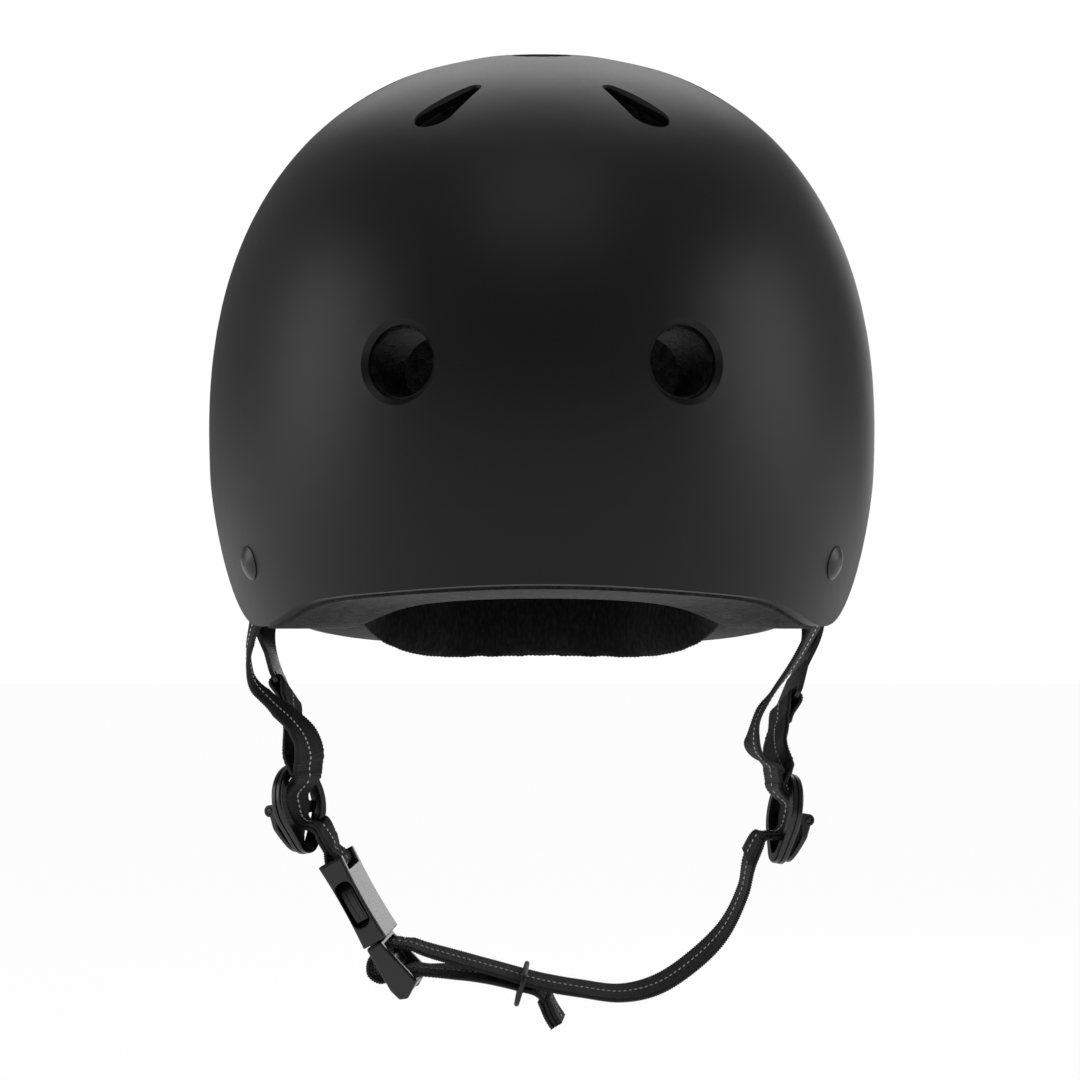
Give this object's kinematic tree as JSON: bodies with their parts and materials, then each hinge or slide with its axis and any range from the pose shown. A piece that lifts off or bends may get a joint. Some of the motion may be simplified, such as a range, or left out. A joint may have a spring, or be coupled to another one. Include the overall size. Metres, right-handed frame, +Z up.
{
  "type": "skateboard helmet",
  "caption": "Round matt skateboard helmet with round and drop-shaped vents, foam liner, fabric comfort pads and a webbing chin strap with cam-lock dividers and a side-release buckle.",
  "frame": {"origin": "where the crown of the head meets the underside of the crown pad, on the centre plane", "axes": "+Z up, -Y towards the front of the helmet, +X towards the wearer's left"},
  "size_m": [0.223, 0.274, 0.327],
  "materials": {
    "shell": "matt, softly sheened black",
    "liner_foam": "moulded bead foam, matt black with a finely speckled surface",
    "pad_knit": "black brushed knit over soft foam",
    "hook_tape": "black hook tape",
    "rivet_metal": "black painted steel",
    "washer_metal": "plain steel",
    "moulded_black": "half-gloss black acetal",
    "webbing": "black ribbed webbing with a dashed white stitch along its middle",
    "keeper_rubber": "smooth black rubber"
  },
  "bodies": {
    "helmet": {"outer_shell": "shell", "eps_liner": "liner_foam", "brow_pad": "pad_knit", "rear_pad": "pad_knit", "side_pad_left": "pad_knit", "side_pad_right": "pad_knit", "crown_pad": "pad_knit", "hook_patches": "hook_tape", "strap_rivets": "rivet_metal", "rivet_washers": "washer_metal", "strap_hanger_left": "moulded_black", "strap_hanger_right": "moulded_black", "front_webbing_left": "webbing", "front_webbing_right": "webbing", "rear_webbing_left": "webbing", "rear_webbing_right": "webbing"},
    "divider_right": {"adjuster_frame_right": "moulded_black", "divider_webbing_right": "webbing"},
    "divider_left": {"adjuster_frame_left": "moulded_black", "divider_webbing_left": "webbing"},
    "cam_right": {"cam_lever_right": "moulded_black"},
    "cam_left": {"cam_lever_left": "moulded_black"},
    "chin_loop": {"buckle_socket": "moulded_black", "chin_webbing_short": "webbing", "chin_webbing_long": "webbing"},
    "plug": {"buckle_plug": "moulded_black", "webbing_tail": "webbing"},
    "arm_front": {"buckle_arm_front": "moulded_black"},
    "arm_rear": {"buckle_arm_rear": "moulded_black"},
    "keeper": {"keeper_ring": "keeper_rubber"}
  },
  "joints": [
    {"name": "divider_right_slide", "type": "slide", "parent": "helmet", "child": "divider_right", "axis": [0, 0, 1], "range_m": [-0.01, 0.01], "deforming": ["front_webbing_right", "rear_webbing_right"]},
    {"name": "divider_left_slide", "type": "slide", "parent": "helmet", "child": "divider_left", "axis": [0, 0, 1], "range_m": [-0.01, 0.01], "deforming": ["front_webbing_left", "rear_webbing_left"]},
    {"name": "cam_right_hinge", "type": "hinge", "parent": "divider_right", "child": "cam_right", "pos_m": [-0.0855, -0.00919, -0.21895], "axis": [0.53, 0.848, 0], "range_deg": [0, 100]},
    {"name": "cam_left_hinge", "type": "hinge", "parent": "divider_left", "child": "cam_left", "pos_m": [0.08613, -0.01062, -0.22221], "axis": [0.2629, -0.9634, 0.0521], "range_deg": [0, 100]},
    {"name": "chin_swing", "type": "hinge", "parent": "divider_right", "child": "chin_loop", "pos_m": [0, -0.0125, -0.2245], "axis": [1, 0, 0], "range_deg": [-45, 60], "deforming": ["chin_webbing_short", "chin_webbing_long"]},
    {"name": "buckle_release", "type": "slide", "parent": "chin_loop", "child": "plug", "axis": [0.4879, 0, -0.8729], "range_m": [0, 0.022], "deforming": ["chin_webbing_long", "buckle_arm_front", "buckle_arm_rear"]},
    {"name": "arm_front_flex", "type": "hinge", "parent": "plug", "child": "arm_front", "pos_m": [-0.05519, -0.01814, -0.26106], "axis": [-0.8644, 0.1392, -0.4831], "range_deg": [0, 12], "stiffness_Nm_per_rad": 0.05},
    {"name": "arm_rear_flex", "type": "hinge", "parent": "plug", "child": "arm_rear", "pos_m": [-0.05368, -0.00586, -0.26022], "axis": [0.8644, -0.1392, 0.4831], "range_deg": [0, 12], "stiffness_Nm_per_rad": 0.05},
    {"name": "keeper_slide", "type": "slide", "parent": "plug", "child": "keeper", "axis": [-0.9608, 0, 0.2773], "range_m": [0, 0.01]}
  ],
  "couplings": [
    {"joint": "divider_left_slide", "follows": "divider_right_slide", "ratio": 1}
  ]
}
